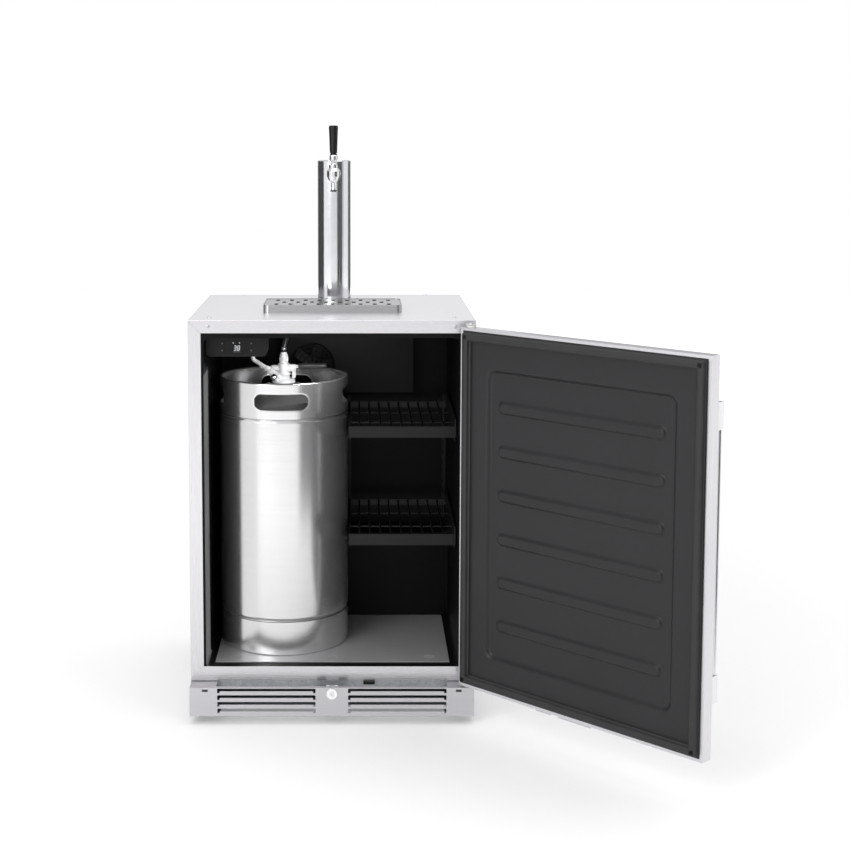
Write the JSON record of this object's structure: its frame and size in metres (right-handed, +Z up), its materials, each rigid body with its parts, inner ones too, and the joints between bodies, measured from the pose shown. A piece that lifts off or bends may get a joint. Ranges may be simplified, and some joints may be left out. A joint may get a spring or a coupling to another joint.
{
  "type": "undercounter kegerator",
  "caption": "Undercounter draft beer cooler: insulated steel cabinet with a hinged door, keg and coupler, half shelves, draft tower with lever faucet, and drip tray.",
  "frame": {"origin": "on the floor under the middle of the cabinet body", "axes": "+Z up, -Y out of the front of the cabinet, +X to the viewer's right when facing the front"},
  "size_m": [1.0183, 1.0093, 1.245],
  "materials": {
    "galvanised": "satin",
    "cabinet_steel": "satin",
    "frame_steel": "satin",
    "foam": "matte",
    "liner_black": "satin",
    "cover_black": "matte",
    "coil_aluminium": "satin",
    "motor_grey": "matte",
    "fan_plastic": "matte",
    "panel_black": "satin",
    "display_glass": "gloss",
    "shelf_steel": "satin",
    "kick_steel": "satin",
    "bright_chrome": "polished",
    "zinc": "satin",
    "compressor_black": "satin",
    "copper": "satin",
    "keg_steel": "satin",
    "handle_black": "satin",
    "beer_hose": "satin",
    "gas_hose": "satin",
    "brass_fitting": "satin",
    "door_liner_charcoal": "satin",
    "gasket_rubber": "matte",
    "handle_steel": "satin",
    "nylon": "satin",
    "tray_steel": "satin",
    "foot_black": "matte"
  },
  "bodies": {
    "cabinet": {"base_pan": "galvanised", "side_panel_left": "cabinet_steel", "side_panel_right": "cabinet_steel", "back_panel": "galvanised", "top_panel": "cabinet_steel", "front_frame": "frame_steel", "insulation_foam": "foam", "machine_shroud": "galvanised", "inner_liner": "liner_black", "floor_plate": "frame_steel", "evaporator_cover": "cover_black", "evaporator_coil": "coil_aluminium", "evaporator_fan_motor": "motor_grey", "control_housing": "panel_black", "control_display": "display_glass", "shelf_upper": "shelf_steel", "shelf_lower": "shelf_steel", "shelf_brackets": "shelf_steel", "kickplate": "kick_steel", "lock_housing": "bright_chrome", "hinge_plates": "frame_steel", "cabinet_screws": "zinc", "door_switch": "panel_black", "compressor": "compressor_black", "condenser_coil": "coil_aluminium", "condenser_fan_motor": "motor_grey", "refrigerant_pipes": "copper", "rear_cover": "galvanised", "power_inlet": "panel_black", "tower_tube": "bright_chrome", "faucet_shank": "bright_chrome", "faucet_body": "bright_chrome", "keg": "keg_steel", "coupler_body": "bright_chrome", "beer_line": "beer_hose", "gas_line": "gas_hose", "gas_bulkhead": "brass_fitting"},
    "door": {"door_skin": "cabinet_steel", "door_foam": "foam", "door_liner": "door_liner_charcoal", "door_gasket": "gasket_rubber", "door_handle": "handle_steel", "door_bushes": "nylon", "door_strike": "zinc"},
    "lock_plug": {"lock_cylinder": "bright_chrome"},
    "bolt": {"lock_bolt": "zinc"},
    "cold_fan": {"evaporator_fan_blade": "fan_plastic"},
    "warm_fan": {"condenser_fan_blade": "fan_plastic"},
    "foot_1": {"levelling_foot_1": "foot_black"},
    "foot_2": {"levelling_foot_2": "foot_black"},
    "foot_3": {"levelling_foot_3": "foot_black"},
    "foot_4": {"levelling_foot_4": "foot_black"},
    "tap": {"faucet_lever": "bright_chrome", "tap_handle": "handle_black"},
    "valve": {"faucet_valve": "bright_chrome"},
    "tray": {"drip_tray": "tray_steel"},
    "grid": {"drip_grid": "tray_steel"},
    "coupler_lever": {"coupler_handle": "handle_black"},
    "probe": {"coupler_probe": "bright_chrome"},
    "relief": {"relief_valve": "bright_chrome"}
  },
  "joints": [
    {"name": "door_hinge", "type": "hinge", "parent": "cabinet", "child": "door", "pos_m": [0.2854, -0.2925, 0.45], "axis": [0, 0, 1], "range_deg": [-135, 0]},
    {"name": "lock_turn", "type": "hinge", "parent": "cabinet", "child": "lock_plug", "pos_m": [0, -0.3, 0.066], "axis": [0, 1, 0], "range_deg": [0, 90]},
    {"name": "bolt_lift", "type": "slide", "parent": "cabinet", "child": "bolt", "axis": [0, 0, 1], "range_m": [0, 0.009]},
    {"name": "evaporator_fan_spin", "type": "hinge", "parent": "cabinet", "child": "cold_fan", "pos_m": [-0.051, 0.175, 0.69], "axis": [0, 1, 0], "continuous": true},
    {"name": "condenser_fan_spin", "type": "hinge", "parent": "cabinet", "child": "warm_fan", "pos_m": [0.01, 0.204, 0.12], "axis": [0, 1, 0], "continuous": true},
    {"name": "tap_pull", "type": "hinge", "parent": "cabinet", "child": "tap", "pos_m": [0, 0.06, 1.156], "axis": [1, 0, 0], "range_deg": [0, 32]},
    {"name": "valve_slide", "type": "slide", "parent": "cabinet", "child": "valve", "axis": [0, 1, 0], "range_m": [0, 0.005]},
    {"name": "drip_tray_lift", "type": "slide", "parent": "cabinet", "child": "tray", "axis": [0, 0, 1], "range_m": [0, 0.06]},
    {"name": "drip_grid_lift", "type": "slide", "parent": "tray", "child": "grid", "axis": [0, 0, 1], "range_m": [0, 0.03]},
    {"name": "coupler_pull", "type": "hinge", "parent": "cabinet", "child": "coupler_lever", "pos_m": [-0.0892, -0.034, 0.712], "axis": [0, -1, 0], "range_deg": [0, 70]},
    {"name": "probe_slide", "type": "slide", "parent": "cabinet", "child": "probe", "axis": [0, 0, 1], "range_m": [0, 0.012]},
    {"name": "relief_pull", "type": "slide", "parent": "cabinet", "child": "relief", "axis": [-0.7071, -0.7071, 0], "range_m": [0, 0.003], "stiffness_N_per_m": 400, "springref_m": -0.003},
    {"name": "levelling_foot_1_screw", "type": "slide", "parent": "cabinet", "child": "foot_1", "axis": [0, 0, -1], "range_m": [0, 0.018]},
    {"name": "levelling_foot_2_screw", "type": "slide", "parent": "cabinet", "child": "foot_2", "axis": [0, 0, -1], "range_m": [0, 0.018]},
    {"name": "levelling_foot_3_screw", "type": "slide", "parent": "cabinet", "child": "foot_3", "axis": [0, 0, -1], "range_m": [0, 0.018]},
    {"name": "levelling_foot_4_screw", "type": "slide", "parent": "cabinet", "child": "foot_4", "axis": [0, 0, -1], "range_m": [0, 0.018]}
  ],
  "couplings": [
    {"joint": "lock_turn", "follows": "bolt_lift", "rad_per_m": 0.005729},
    {"joint": "valve_slide", "follows": "tap_pull", "m_per_rad": 0.0089516},
    {"joint": "probe_slide", "follows": "coupler_pull", "m_per_rad": 0.0098212}
  ]
}
